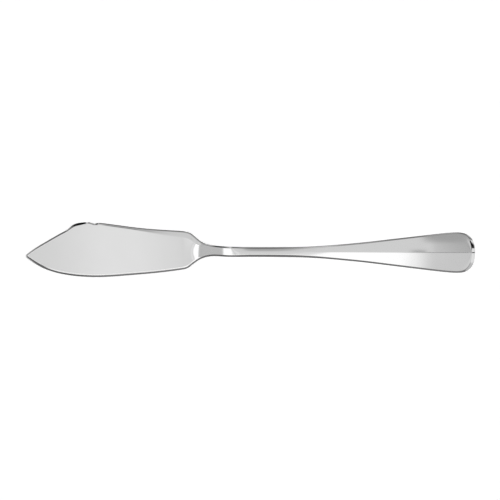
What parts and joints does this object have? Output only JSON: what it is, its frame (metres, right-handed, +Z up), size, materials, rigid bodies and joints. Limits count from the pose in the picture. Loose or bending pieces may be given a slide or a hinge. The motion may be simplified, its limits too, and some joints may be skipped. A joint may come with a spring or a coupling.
{
  "type": "fish knife",
  "caption": "Fish knife with a flat pointed blade, a humped and notched spine, a slender stem and a flared handle with a centre ridge.",
  "frame": {"origin": "middle of the knife's box in plan, on the table that it lies on", "axes": "+X from the tip of the blade to the end of the handle, +Y towards the humped spine, +Z up out of the face, with the back on Z = 0"},
  "size_m": [0.2, 0.0245, 0.0052],
  "materials": {
    "polished_stainless": "polished"
  },
  "bodies": {
    "root": {"blade": "polished_stainless", "neck": "polished_stainless", "stem": "polished_stainless", "handle": "polished_stainless"}
  },
  "joints": []
}
